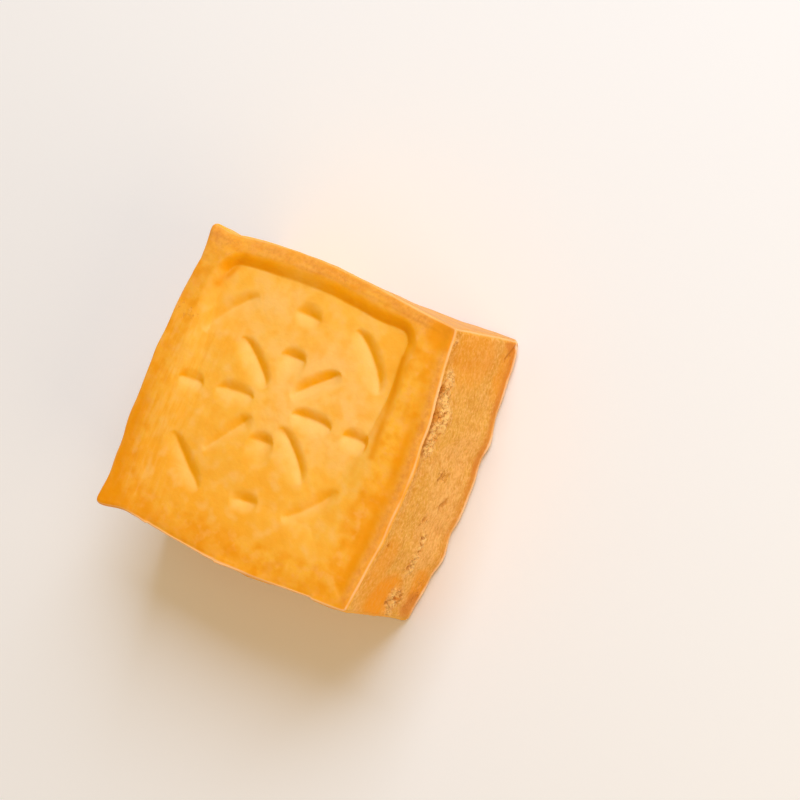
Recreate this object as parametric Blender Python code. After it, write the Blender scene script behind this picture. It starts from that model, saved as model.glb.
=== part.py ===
"""A pressed block of dried tofu with a stamped upper face, as one solid.

The block lies flat on Z = 0 with the stamped face up, and is centred on the origin.
A bevelled box is cut into a lattice, and its points are then moved by short formulas:
swollen sides, pinched corners, a sunk panel with a stamped flower, and a groove under
the skin's lip on the +X side. Everything is in metres.
"""

import math

import bmesh
import bpy
import numpy as np

NAME = "tofu_block"

# The plain block, measured from corner to corner.
WIDTH = 0.064
LENGTH = 0.064
THICKNESS = 0.031
EDGE_RADIUS = 0.0012
EDGE_SEGMENTS = 2

# The lattice: fine over the stamped panel, coarser over the rim and down the sides.
PANEL_CELL = 0.0011
RIM_CELL = 0.0021
SIDE_CELL = 0.0052

# How far the middle of each side swells past its corners, on the stamped face and underneath.
SWELL_RIGHT = (0.0042, 0.0041)
SWELL_LEFT = (0.0028, 0.0017)
SWELL_BACK = (0.0028, 0.0000)
SWELL_FRONT = (0.0026, 0.0016)
SWELL_LEAN = 0.0029
BACK_SKEW = 0.34
BACK_FOOT = 0.0018
WAVES = ((0.0147, 0.00026, 1.5), (0.0089, 0.00015, 0.4))

# The pulls on the corners: the corner's signs in X and Y, whether it is on the stamped face (1) or
# underneath (0), the way it is pulled in X, Y and Z, and how wide the pull is. The first two make
# the ear that the press cloth pinched.
CORNER_PULLS = (
    (-1, 1, 1, (0.0004, -0.0010, 0.0000), 0.0110),
    (-1, 1, 1, (-0.0010, 0.0020, 0.0008), 0.0036),
    (-1, -1, 1, (-0.0014, -0.0019, 0.0003), 0.0036),
    (1, 1, 1, (0.0006, 0.0003, 0.0000), 0.0060),
    (1, -1, 1, (0.0001, -0.0006, 0.0000), 0.0060),
    (1, 1, 0, (0.0011, 0.0006, 0.0000), 0.0120),
)

# The sunk panel. It was pressed deepest along its back wall.
PANEL_CENTRE = (-0.0014, 0.0014)
PANEL_HALF = (0.0262, 0.0280)
PANEL_CORNER = 0.0055
PANEL_DEPTH = (0.0004, 0.0016)
PANEL_WALL = (0.0080, 0.0028)
PANEL_WALL_CURVE = 1.5
PANEL_PILLOW = 0.0006
RIM_FALL = (0.0009, 0.0055)

# The stamped flower: petals round the centre, dots past every other petal, bars across the corners.
FLOWER_CENTRE = (-0.0016, 0.0008)
FLOWER_TURN = math.radians(4)
PETALS = 8
PETAL_START = 0.0048
PETAL_END = (0.0152, 0.0182)
PETAL_WIDTH = 0.0070
DOT_RADIUS = 0.0206
DOT_LENGTH = 0.0058
BAR_RADIUS = 0.0242
BAR_ANGLE = math.radians(17)
STROKE_WIDTH = 0.0068
STROKE_BLUNT = 0.30
STROKE_WALL = 0.0027
STROKE_WALL_CURVE = 1.5
STROKE_FLOOR_CURVE = 2.2
STROKE_ROUNDING = 0.16
STAMP_DEPTH = 0.0013
STAMP_SEED = 11

# The groove behind the lip of skin, on the +X side.
GROOVE_BELOW = 0.0034
GROOVE_HALF = 0.0022
GROOVE_DEPTH = 0.0006

SKIN_COLOUR = (0.98, 0.43, 0.06, 1.0)
SKIN_ROUGHNESS = 0.42


def smooth(value):
    """0 below 0, 1 above 1, with an even S-shaped rise between."""
    value = np.clip(value, 0.0, 1.0)
    return value * value * (3.0 - 2.0 * value)


def arch(position, half):
    """1 in the middle of a span and 0 at its ends, as a parabola."""
    return np.clip(1.0 - (position / half) ** 2, 0.0, 1.0)


def ripple(position):
    """The uneven wave along an edge: two sine waves of unlike length."""
    return sum(high * np.sin(2 * math.pi * position / length + turn) for length, high, turn in WAVES)


def swollen_sides(points):
    """Pushes each side out by its swell. A point moves by the cube of its share of the way out."""
    x, y, z = points.T
    height = z / THICKNESS
    along_x = arch(x, WIDTH / 2)
    along_y = arch(y + SWELL_LEAN, LENGTH / 2 + SWELL_LEAN)
    waves = ripple(0.4 * x - y) * (1 - 0.6 * height)
    pushes = {}
    for side, (upper, lower), along in (
        ("right", SWELL_RIGHT, along_y),
        ("left", SWELL_LEFT, along_y),
        ("back", SWELL_BACK, along_x),
        ("front", SWELL_FRONT, along_x),
    ):
        pushes[side] = along * (lower + (upper - lower) * height) + waves * np.sqrt(along)
    pushes["back"] *= 1 - BACK_SKEW * 2 * x / WIDTH
    pushes["back"] += BACK_FOOT * (1 - height) * smooth(2 * x / WIDTH)
    share_x = np.abs(2 * x / WIDTH) ** 3
    share_y = np.abs(2 * y / LENGTH) ** 3
    x = x + share_x * np.where(x > 0, pushes["right"], -pushes["left"])
    y = y + share_y * np.where(y > 0, pushes["back"], -pushes["front"])
    return np.stack([x, y, z], axis=1)


def pinched_corners(points):
    """Pulls the corners. Each pull dies away as a bell curve, and towards the block's other face."""
    moved = points.copy()
    height = smooth(points[:, 2] / THICKNESS)
    for side_x, side_y, level, pull, spread in CORNER_PULLS:
        corner = np.array([side_x * WIDTH / 2, side_y * LENGTH / 2])
        distance = np.hypot(*(points[:, :2] - corner).T)
        share = height if level else 1 - height
        weight = share * np.exp(-((distance / spread) ** 2))
        moved += weight[:, None] * np.array(pull)
    return moved


def panel_depth(x, y):
    """How far the panel, a rounded rectangle, lies below the rim. It is deepest where it was pressed
    crisply, along its back.

    A wall is a power curve, so it leaves the rim gently and meets the floor at a crease."""
    away_x = x - PANEL_CENTRE[0]
    away_y = y - PANEL_CENTRE[1]
    past_x = np.abs(away_x) - (PANEL_HALF[0] - PANEL_CORNER)
    past_y = np.abs(away_y) - (PANEL_HALF[1] - PANEL_CORNER)
    outside = np.hypot(np.maximum(past_x, 0), np.maximum(past_y, 0))
    edge = outside + np.minimum(np.maximum(past_x, past_y), 0) - PANEL_CORNER
    crisp = smooth(0.55 + 0.15 * away_x / PANEL_HALF[0] + 0.60 * away_y / PANEL_HALF[1])
    depth = PANEL_DEPTH[0] + (PANEL_DEPTH[1] - PANEL_DEPTH[0]) * crisp
    wall = PANEL_WALL[0] + (PANEL_WALL[1] - PANEL_WALL[0]) * crisp
    pillow = PANEL_PILLOW * arch(away_x, PANEL_HALF[0]) * arch(away_y, PANEL_HALF[1])
    return depth * np.clip(-edge / wall, 0, 1) ** PANEL_WALL_CURVE - pillow


def hollow(place, line, lean):
    """The depth across a stroke, whose place runs from -1 to 1: 1 at the deepest line and 0 at both ends.

    The wall is the side that the stamp leant towards, the floor the other. Each is a power curve, and
    the smaller of the two is taken, with a little rounding where they meet."""
    wall = np.clip((1 - lean * place) / (1 - lean * line), 0, None) ** STROKE_WALL_CURVE
    floor = np.clip((1 + lean * place) / (1 + lean * line), 0, None) ** STROKE_FLOOR_CURVE
    return np.clip((wall + floor - np.hypot(wall - floor, STROKE_ROUNDING)) / 2, 0, 1)


def stroke(along, across, length, width, heading):
    """The depth of a blunt stroke of the stamp, from 0 outside it to about 1 on its deepest line.

    Along runs from 0 to 1 the way the stroke heads, and across is to the left of that. The stamp
    leant towards +Y. So from the long edge on that side, or from the end of a stroke that heads along
    Y, a wall falls ever more steeply to the deepest line, and from there the floor rises gently. The
    other way the stroke is rounded alike at both ends."""
    lengthways = 2 * along - 1
    sideways = 2 * across / width / np.clip(1 - lengthways**2, 1e-3, 1) ** STROKE_BLUNT
    leans = ((lengthways, length, 4, math.sin(heading) ** 7), (sideways, width, 2, math.cos(heading)))
    depth = 1
    for place, extent, flat, lean in leans:
        rounded = 1 - np.clip(np.abs(place), 0, 1) ** flat
        leant = hollow(place, math.copysign(1 - 2 * STROKE_WALL / extent, lean), math.copysign(1, lean))
        depth = depth * (rounded + smooth(2.5 * abs(lean)) * (leant - rounded))
    return depth


def straight_stroke(x, y, angle, start, end, width):
    """A stroke that runs outwards from the flower's centre."""
    along = (x * math.cos(angle) + y * math.sin(angle) - start) / (end - start)
    across = y * math.cos(angle) - x * math.sin(angle)
    return stroke(along, across, end - start, width, angle)


def curved_stroke(x, y, angle, radius, half_angle, width):
    """A stroke that bends round the flower's centre."""
    turned = np.arctan2(y, x) - angle
    turned = (turned + math.pi) % (2 * math.pi) - math.pi
    along = 0.5 + turned / (2 * half_angle)
    return stroke(along, radius - np.hypot(x, y), 2 * half_angle * radius, width, angle + math.pi / 2)


def stamp_depth(x, y):
    """The stamped flower's depth. A seeded draw presses each stroke unevenly."""
    draw = np.random.default_rng(STAMP_SEED)
    x = x - FLOWER_CENTRE[0]
    y = y - FLOWER_CENTRE[1]
    pressed = np.zeros_like(x)
    for petal in range(PETALS):
        angle = FLOWER_TURN + 2 * math.pi * petal / PETALS + draw.uniform(-0.06, 0.06)
        end = PETAL_END[petal % 2] * draw.uniform(0.94, 1.06)
        depth = STAMP_DEPTH * draw.uniform(0.7, 1.1)
        leaf = straight_stroke(x, y, angle, PETAL_START, end, PETAL_WIDTH)
        if petal % 2:
            outer = curved_stroke(x, y, angle, BAR_RADIUS, BAR_ANGLE, STROKE_WIDTH)
        else:
            inner = DOT_RADIUS - DOT_LENGTH / 2
            outer = straight_stroke(x, y, angle, inner, inner + DOT_LENGTH, STROKE_WIDTH)
        pressed = np.maximum(pressed, depth * np.maximum(leaf, 0.85 * outer))
    return pressed


def pressed_face(points):
    """Lowers the stamped face: the rim rolls off to the edges, and the panel and flower sink in."""
    x, y, z = points.T
    fall, reach = RIM_FALL
    to_left = (x + WIDTH / 2) / reach
    to_back = (LENGTH / 2 - y) / reach
    rolled = fall * (2 - smooth(to_left) - smooth(to_back))
    upper = smooth(2 * z / THICKNESS - 1)
    lowered = panel_depth(x, y) + stamp_depth(x, y)
    inside = np.maximum(np.abs(x) / (WIDTH / 2), np.abs(y) / (LENGTH / 2)) < 1
    z = z - upper * (np.where(inside, lowered, 0) + 0.5 * rolled)
    return np.stack([x, y, z], axis=1)


def grooved_side(points):
    """Draws the +X side in behind the lip of skin."""
    x, y, z = points.T
    below = THICKNESS - z
    groove = np.exp(-(((below - GROOVE_BELOW) / GROOVE_HALF) ** 2))
    outer = smooth((x - 0.46 * WIDTH) / (0.04 * WIDTH))
    x = x - GROOVE_DEPTH * groove * outer * arch(y, LENGTH / 2)
    return np.stack([x, y, z], axis=1)


def centred(points):
    """Moves the block so that its box stands on the origin."""
    low = points.min(axis=0)
    high = points.max(axis=0)
    return points - np.array([(low[0] + high[0]) / 2, (low[1] + high[1]) / 2, low[2]])


def evenly(start, end, cell):
    """Cuts from start to end, no further apart than one cell."""
    return np.linspace(start, end, max(2, math.ceil((end - start) / cell) + 1))


def cuts_across(half, centre, panel_half):
    """The lattice's planes from one side to the other, fine over the panel."""
    low = centre - panel_half
    high = centre + panel_half
    inner = half - EDGE_RADIUS
    rows = [evenly(-inner, low, RIM_CELL), evenly(low, high, PANEL_CELL), evenly(high, inner, RIM_CELL)]
    return np.unique(np.round(np.concatenate(rows), 7))[1:-1]


def cut_lattice(mesh, axis, places):
    """Cuts the block right through, square to one axis, at each place."""
    normal = [0.0, 0.0, 0.0]
    normal[axis] = 1.0
    for place in places:
        point = [0.0, 0.0, 0.0]
        point[axis] = float(place)
        everything = mesh.verts[:] + mesh.edges[:] + mesh.faces[:]
        bmesh.ops.bisect_plane(mesh, geom=everything, dist=1e-7, plane_co=point, plane_no=normal)


def bevelled_lattice():
    """The plain block: a box with bevelled edges, cut into the lattice."""
    mesh = bmesh.new()
    bmesh.ops.create_cube(mesh, size=1.0)
    bmesh.ops.scale(mesh, vec=(WIDTH, LENGTH, THICKNESS), verts=mesh.verts)
    bmesh.ops.translate(mesh, vec=(0.0, 0.0, THICKNESS / 2), verts=mesh.verts)
    bmesh.ops.bevel(
        mesh,
        geom=mesh.edges[:],
        offset=EDGE_RADIUS,
        segments=EDGE_SEGMENTS,
        profile=0.5,
        affect="EDGES",
    )
    cut_lattice(mesh, 0, cuts_across(WIDTH / 2, PANEL_CENTRE[0], PANEL_HALF[0]))
    cut_lattice(mesh, 1, cuts_across(LENGTH / 2, PANEL_CENTRE[1], PANEL_HALF[1]))
    lip = THICKNESS - GROOVE_BELOW
    cut_lattice(mesh, 2, evenly(EDGE_RADIUS, lip, SIDE_CELL)[1:])
    cut_lattice(mesh, 2, [lip + 0.55 * (GROOVE_BELOW - EDGE_RADIUS)])
    return mesh


def skin_material():
    """The smooth orange-yellow skin."""
    material = bpy.data.materials.new("pressed tofu skin")
    material.use_nodes = True
    shader = material.node_tree.nodes["Principled BSDF"]
    shader.inputs["Base Color"].default_value = SKIN_COLOUR
    shader.inputs["Roughness"].default_value = SKIN_ROUGHNESS
    shader.inputs["Metallic"].default_value = 0.0
    return material


def tofu_block(collection):
    """The finished block as an object in the collection.

    Each cell is split along its shorter diagonal, which follows the walls of the stamp."""
    lattice = bevelled_lattice()
    points = np.array([vertex.co[:] for vertex in lattice.verts])
    for shaping in (pressed_face, swollen_sides, grooved_side, pinched_corners, centred):
        points = shaping(points)
    for vertex, point in zip(lattice.verts, points):
        vertex.co = point
    bmesh.ops.recalc_face_normals(lattice, faces=lattice.faces)
    bmesh.ops.triangulate(lattice, faces=lattice.faces, quad_method="SHORT_EDGE")
    mesh = bpy.data.meshes.new(NAME)
    lattice.to_mesh(mesh)
    lattice.free()
    mesh.shade_smooth()
    mesh.materials.append(skin_material())
    block = bpy.data.objects.new(NAME, mesh)
    collection.objects.link(block)
    return block


def main():
    for old in list(bpy.data.objects):
        bpy.data.objects.remove(old, do_unlink=True)
    collection = bpy.data.collections.new("dried tofu")
    bpy.context.scene.collection.children.link(collection)
    tofu_block(collection)


main()
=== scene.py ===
"""A block of pressed dried tofu: the finished surface, its materials and the studio round it.

Run it as a script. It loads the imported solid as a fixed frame, and lays a finely
modelled skin over it: the swollen sides, pinched corners and stamped panel of the solid,
with the lip of skin, crumbs, pits, streaks and creases that the solid leaves out.
All sizes are in metres.
"""

import itertools
import math
from types import SimpleNamespace

import bpy
import numpy as np
from bpy.props import FloatProperty, FloatVectorProperty, IntProperty, PointerProperty
from mathutils import Matrix, Vector


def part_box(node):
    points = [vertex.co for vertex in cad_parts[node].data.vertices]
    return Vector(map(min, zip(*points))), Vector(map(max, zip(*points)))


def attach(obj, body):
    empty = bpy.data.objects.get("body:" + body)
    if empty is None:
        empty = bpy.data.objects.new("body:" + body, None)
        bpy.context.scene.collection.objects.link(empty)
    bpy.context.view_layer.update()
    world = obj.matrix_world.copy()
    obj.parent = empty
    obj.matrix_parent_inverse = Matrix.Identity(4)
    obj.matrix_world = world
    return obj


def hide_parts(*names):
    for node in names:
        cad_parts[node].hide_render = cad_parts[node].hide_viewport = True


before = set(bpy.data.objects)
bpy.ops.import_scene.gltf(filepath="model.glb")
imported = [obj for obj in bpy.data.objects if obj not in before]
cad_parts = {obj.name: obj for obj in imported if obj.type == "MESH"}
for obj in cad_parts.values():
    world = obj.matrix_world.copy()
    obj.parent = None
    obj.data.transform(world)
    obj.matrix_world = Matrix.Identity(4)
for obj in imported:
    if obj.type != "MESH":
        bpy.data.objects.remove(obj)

bl_info = {
    "name": "Dried Tofu Block",
    "version": (1, 0, 0),
    "blender": (4, 5, 0),
    "location": "View3D > Sidebar > Dried Tofu",
    "description": "A pressed block of dried tofu with a stamped face, and its studio",
    "category": "Add Mesh",
}

NODE = "tofu_block"
BODY = "root"

# How far the middle of each side swells past its corners, on the stamped face and underneath.
SWELL_RIGHT = (0.0042, 0.0041)
SWELL_LEFT = (0.0028, 0.0017)
SWELL_BACK = (0.0028, 0.0000)
SWELL_FRONT = (0.0026, 0.0016)
SWELL_LEAN = 0.0029
BACK_SKEW = 0.34
BACK_FOOT = 0.0018
WAVES = ((0.0147, 0.00026, 1.5), (0.0089, 0.00015, 0.4))

# The pulls on the corners: the corner's signs in X and Y, whether it is on the stamped face (1) or
# underneath (0), the way it is pulled in X, Y and Z, and how wide the pull is. The first two make
# the ear that the press cloth pinched.
CORNER_PULLS = (
    (-1, 1, 1, (0.0004, -0.0010, 0.0000), 0.0110),
    (-1, 1, 1, (-0.0010, 0.0020, 0.0008), 0.0036),
    (-1, -1, 1, (-0.0014, -0.0019, 0.0003), 0.0036),
    (1, 1, 1, (0.0006, 0.0003, 0.0000), 0.0060),
    (1, -1, 1, (0.0001, -0.0006, 0.0000), 0.0060),
    (1, 1, 0, (0.0011, 0.0006, 0.0000), 0.0120),
)

# The sunk panel. It was pressed deepest along its back wall.
PANEL_CENTRE = (-0.0014, 0.0014)
PANEL_HALF = (0.0262, 0.0280)
PANEL_CORNER = 0.0055
PANEL_DEPTH = (0.0004, 0.0016)
PANEL_WALL = (0.0080, 0.0028)
PANEL_WALL_CURVE = 1.5
PANEL_PILLOW = 0.0006
RIM_FALL = (0.0009, 0.0055)

# The stamped flower: petals round the centre, dots past every other petal, bars across the corners.
FLOWER_CENTRE = (-0.0016, 0.0008)
FLOWER_TURN = math.radians(4)
PETALS = 8
PETAL_START = 0.0048
PETAL_END = (0.0152, 0.0182)
PETAL_WIDTH = 0.0070
DOT_RADIUS = 0.0206
DOT_LENGTH = 0.0058
BAR_RADIUS = 0.0242
BAR_ANGLE = math.radians(17)
STROKE_WIDTH = 0.0068
STROKE_BLUNT = 0.30
STROKE_WALL = 0.0027
STROKE_WALL_CURVE = 1.5
STROKE_FLOOR_CURVE = 2.2
STROKE_ROUNDING = 0.16
STAMP_SEED = 11

# The groove behind the lip of skin, on the +X side.
GROOVE_BELOW = 0.0034
GROOVE_HALF = 0.0022
GROOVE_DEPTH = 0.0006

# Broken flesh on the +X side: the middle in Y and below the face, the half lengths, and how rough it is.
CRUMB_PATCHES = (
    (0.0184, 0.0034, 0.0044, 0.0028, 1.0),
    (0.0135, 0.0042, 0.0048, 0.0038, 1.0),
    (0.0082, 0.0030, 0.0052, 0.0026, 0.9),
    (-0.0192, 0.0178, 0.0034, 0.0018, 1.0),
    (-0.0135, 0.0172, 0.0022, 0.0010, 1.0),
    (-0.0278, 0.0185, 0.0040, 0.0034, 1.0),
    (0.0292, 0.0006, 0.0010, 0.0009, 0.9),
)
# The gap between the lip of skin and the crumbs, which is given painted shade: its two ends in Y, its place
# below the face and its half width. Then how far in from each end it is still getting deeper.
LIP_GAP = (0.0030, 0.0210, 0.0014, 0.0006)
GAP_FADE = 0.0020
# Single pits there, which are given painted shade: the middle in Y and below the face, and the radius.
PITS = (
    (-0.0048, 0.0196, 0.0010),
    (-0.0086, 0.0149, 0.0006),
    (-0.0158, 0.0041, 0.0005),
    (0.0006, 0.0138, 0.0006),
    (0.0024, 0.0176, 0.0005),
)
# Patches of small scratches: the middle, the half lengths and the strength. On the face in X and Y,
# and on the +X side in Y and below the face.
FACE_SCRATCHES = (
    (-0.0290, 0.0130, 0.0030, 0.0022, 1.0),
    (-0.0262, 0.0300, 0.0030, 0.0024, 0.6),
    (0.0030, 0.0306, 0.0040, 0.0010, 0.8),
)
SIDE_SCRATCHES = (
    (0.0012, 0.0150, 0.0014, 0.0036, 1.0),
    (-0.0085, 0.0155, 0.0016, 0.0024, 0.8),
    (-0.0200, 0.0162, 0.0034, 0.0012, 0.7),
    (0.0285, 0.0275, 0.0020, 0.0030, 0.6),
    (-0.0250, 0.0262, 0.0060, 0.0026, 0.6),
)
# Where the flesh of the +X side is a deep amber, reddish or rosy: the middle in Y and below the face, the
# half lengths and the strength.
AMBER_PATCHES = (
    (-0.0285, 0.0130, 0.0066, 0.0072, 1.0),
    (-0.0220, 0.0050, 0.0090, 0.0040, 0.5),
    (0.0270, 0.0110, 0.0070, 0.0110, 0.5),
    (0.0258, 0.0268, 0.0070, 0.0044, 0.6),
    (-0.0235, 0.0262, 0.0036, 0.0040, 0.7),
)
RED_PATCHES = (
    (-0.0282, 0.0272, 0.0034, 0.0034, 0.9),
    (0.0306, 0.0272, 0.0011, 0.0034, 1.0),
)
ROSY_PATCHES = ((-0.0100, 0.0205, 0.0130, 0.0070, 1.0), (0.0085, 0.0215, 0.0060, 0.0050, 0.7))
# The crease across the far corner of that side, which is given painted shade: two ends in Y and below the
# face. Then the deeper orange parts of the stamped face near two corners, and the lines of painted shade
# along the panel's wall across a third corner and along the foot of the panel's +X wall: two ends in X and
# Y.
CORNER_CREASE = ((0.0312, 0.0300), (0.0280, 0.0252))
DEEP_PATCHES = ((0.0292, 0.0292, 0.0036, 0.0034, 1.0), (-0.0300, -0.0300, 0.0042, 0.0042, 1.0))
DEEP_LINES = (((-0.0219, 0.0284), (-0.0254, 0.0211)), ((0.0224, 0.0215), (0.0238, -0.0002)))
# Where the panel is painted paler, a painted pool of the main light: the middle in X and Y, and the half
# lengths.
PAINTED_LIGHT_PATCHES = ((0.0080, 0.0060, 0.0150, 0.0150, 1.0), (-0.0080, 0.0180, 0.0110, 0.0080, 0.8))
# Flaps where the skin stands a little proud along the front edge: two ends in X, and the height. Then how
# far in from each end a flap reaches its height.
FRONT_FLAPS = ((-0.0200, -0.0009, -0.00030), (-0.0009, 0.0170, 0.00030), (0.0237, 0.0320, 0.00035))
FLAP_FADE = (0.0007, 0.0090)

# How far each part of the fine relief stands out of the surface, or lies below it.
LIP_HEIGHT = 0.00025
STRIP_HEIGHT = 0.00008
VALLEY_DEPTH = 0.00014
FOOT_HEIGHT = 0.00028
CRUMB_HEIGHT = 0.0007
CRUMB_BED_DEPTH = 0.0002
GAP_DEPTH = 0.0006
PIT_DEPTH = 0.0006
CREASE_DEPTH = 0.0003
FACE_SCRATCH_DEPTH = 0.00004
SIDE_SCRATCH_DEPTH = 0.00014

# Half the width of the lip of skin, then how much more it is along +Y and along the far part of +X. Along
# +Y the lip also lies a little in from the edge.
LIP_HALF = (0.00032, 0.00013, 0.00012)
LIP_INSET = 0.0002

# Soft bands and spots in the surface: where the middle lies, and the half width. Those of the lip, strip,
# painted shadow line and valley are measured past the nearest edge, so one below 0 lies in from it.
BANDS = {
    "ear": (0.0, 0.0075),
    "back streaks": (0.0020, 0.0030),
    "faded wall": (-0.0065, 0.0055),
    "crease": (0.0, 0.00035),
    "reddish foot": (0.0026, 0.0014),
    "under the lip": (0.0012, 0.0026),
    "dark end": (0.0032, 0.0040),
    "front lip": (0.0, 0.0015),
    "corner ridge": (0.0, 0.0004),
    "shadow_line": (-0.0023, 0.0003),
    "strip": (-0.0012, 0.0009),
    "valley": (-0.0031, 0.0012),
    "foot": (0.0013, 0.0006),
    "flap inwards": (0.0, 0.0010),
    "flap downwards": (0.0, 0.0022),
    "deep left": (0.0016, 0.0018),
    "deep front": (0.0018, 0.0016),
    "wall shade line": (0.0, 0.0008),
    "burnt corner": (0.0, 0.0030),
    "peach back": (0.0015, 0.0026),
    "peach ear": (0.0, 0.0090),
}

# The noises that make the surface uneven. Each has its height, or its strength where it makes something
# else uneven, the size of its cells, as one length or along X, Y and Z, its seed and its number of layers.
TEXTURES = {
    "lumps": (0.00022, 0.0085, 41, 1),
    "small lumps": (0.00007, 0.0032, 42, 2),
    "cloth drag": (0.00005, (0.0010, 0.0080, 0.0020), 45, 1),
    "back streaks": (0.00005, (0.0060, 0.0009, 0.0020), 46, 1),
    "ear wrinkles": (0.00014, (0.0022, 0.0014, 0.0020), 47, 2),
    "face scratches": (1.0, 0.0016, 48, 1),
    "dents": (0.00022, 0.0100, 51, 1),
    "small dents": (0.00009, 0.0040, 52, 2),
    "cloth streaks": (0.00005, (0.0060, 0.0060, 0.0009), 55, 1),
    "ragged along": (0.0012, 0.0026, 31, 2),
    "ragged down": (0.0009, 0.0020, 34, 2),
    "rough flesh": (0.00006, (0.0012, 0.0012, 0.0024), 61, 2),
    "side scratches": (1.0, (0.0010, 0.0012, 0.0020), 63, 1),
    "crumbs": (1.0, 0.0011, 64, 2),
    "crossing crumbs": (1.0, 0.0011, 84, 2),
    "uneven red": (0.5, 0.0050, 33, 1),
    "uneven lip": (0.4, (0.0100, 0.0045, 0.0100), 71, 1),
    "uneven valley": (0.5, 0.0060, 72, 1),
    "uneven foot": (0.4, 0.0036, 73, 1),
    "uneven back": (0.5, 0.0050, 75, 1),
    "uneven ear": (0.6, 0.0040, 76, 1),
    "ragged burn": (0.0010, 0.0020, 77, 1),
    "ragged dry skin": (0.0100, 0.0100, 78, 1),
    "uneven wall shade": (0.4, 0.0022, 79, 1),
}

# The noise that shifts the stamp's outlines: the size of its cells, and its seeds for X and Y.
WAVER_CELL = 0.0070
WAVER_SEEDS = (21, 22)
# How far apart the face's depth is compared on either side of a point, to tell how steep it is there.
SLOPE_STEP = 0.0002

# How strongly the mesh's cells crowd towards the edges, from 0 to 1. The cells of the flat underside are
# drawn together a few to one, apart from a margin along its edges.
CROWDING = 0.35
UNDERSIDE_STEP = 4
UNDERSIDE_MARGIN = 2

# The photograph's camera: the way its right, its up and its back point, and where it stands.
CAMERA_AXES = ((0.8188, -0.3552, 0.4509), (0.3764, 0.9253, 0.0455), (-0.4334, 0.1325, 0.8914))
CAMERA_ACROSS = (0.01294, 0.00731)
CAMERA_DISTANCE = 0.800
FRAME_PIXELS = 800
FOCAL_PIXELS = 3566
SENSOR_MM = 36.0


# ---------------------------------------------------------------- helpers


def linear(hex_colour):
    """The linear RGBA of an sRGB hex colour."""
    value = np.array([int(hex_colour[i : i + 2], 16) / 255 for i in (1, 3, 5)])
    low = value / 12.92
    high = ((value + 0.055) / 1.055) ** 2.4
    return (*np.where(value <= 0.04045, low, high).tolist(), 1.0)


def add_node(tree, kind, links=None, **settings):
    """Adds a node. Settings are its own attributes. Links give each input a value, or a socket to join."""
    made = tree.nodes.new(kind)
    for name, value in settings.items():
        setattr(made, name, value)
    for name, value in (links or {}).items():
        if isinstance(value, bpy.types.NodeSocket):
            tree.links.new(value, made.inputs[name])
        else:
            made.inputs[name].default_value = value
    return made


def smooth(value):
    """0 below 0, 1 above 1, with an even S-shaped rise between."""
    value = np.clip(value, 0.0, 1.0)
    return value * value * (3.0 - 2.0 * value)


def ramp(value, start, end):
    """0 before the start and 1 past the end, with an even S-shaped rise between. It may run downwards."""
    return smooth((value - start) / (end - start))


def bell(value, middle, half):
    """1 in the middle and dying away on both sides as a bell curve."""
    return np.exp(-(((value - middle) / half) ** 2))


def arch(position, half):
    """1 in the middle of a span and 0 at its ends, as a parabola."""
    return np.clip(1.0 - (position / half) ** 2, 0.0, 1.0)


def noise(points, cell, seed):
    """Smooth noise from -1 to 1: a random value at each corner of a lattice, blended across its cells."""
    size = 32
    values = np.random.default_rng(seed).uniform(-1, 1, (size, size, size))
    scaled = points / np.asarray(cell)
    low = np.floor(scaled).astype(int)
    part = smooth(scaled - low)
    total = np.zeros(len(points))
    for corner in itertools.product((0, 1), repeat=3):
        weight = np.where(np.array(corner) == 1, part, 1 - part).prod(axis=1)
        at = (low + corner) % size
        total += weight * values[at[:, 0], at[:, 1], at[:, 2]]
    return total


def layered_noise(points, cell, seed, layers=3):
    """Noise in layers, each half as large and half as strong as the one before."""
    cell = np.asarray(cell)
    return sum(noise(points, cell / 2**i, seed + i) / 2**i for i in range(layers))


# ---------------------------------------------------------------- the block's form


def swollen_sides(points, size):
    """Pushes each side out by its swell. A point moves by the cube of its share of the way out."""
    x, y, z = points.T
    height = z / size.thickness
    along_x = arch(x, size.width / 2)
    along_y = arch(y + SWELL_LEAN, size.length / 2 + SWELL_LEAN)
    waves = ripple(0.4 * x - y) * (1 - 0.6 * height)
    pushes = {}
    for side, (upper, lower), along in (
        ("right", SWELL_RIGHT, along_y),
        ("left", SWELL_LEFT, along_y),
        ("back", SWELL_BACK, along_x),
        ("front", SWELL_FRONT, along_x),
    ):
        pushes[side] = along * (lower + (upper - lower) * height) + waves * np.sqrt(along)
    pushes["back"] *= 1 - BACK_SKEW * 2 * x / size.width
    pushes["back"] += BACK_FOOT * (1 - height) * smooth(2 * x / size.width)
    share_x = np.abs(2 * x / size.width) ** 3
    share_y = np.abs(2 * y / size.length) ** 3
    x = x + share_x * np.where(x > 0, pushes["right"], -pushes["left"])
    y = y + share_y * np.where(y > 0, pushes["back"], -pushes["front"])
    return np.stack([x, y, z], axis=1)


def ripple(position):
    """The uneven wave along an edge: two sine waves of unlike length."""
    return sum(high * np.sin(2 * math.pi * position / length + turn) for length, high, turn in WAVES)


def pinched_corners(points, size):
    """Pulls the corners. Each pull dies away as a bell curve, and towards the block's other face."""
    moved = points.copy()
    height = smooth(points[:, 2] / size.thickness)
    for side_x, side_y, level, pull, spread in CORNER_PULLS:
        corner = np.array([side_x * size.width / 2, side_y * size.length / 2])
        distance = np.hypot(*(points[:, :2] - corner).T)
        share = height if level else 1 - height
        weight = share * bell(distance, 0.0, spread)
        moved += weight[:, None] * np.array(pull)
    return moved


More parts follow.
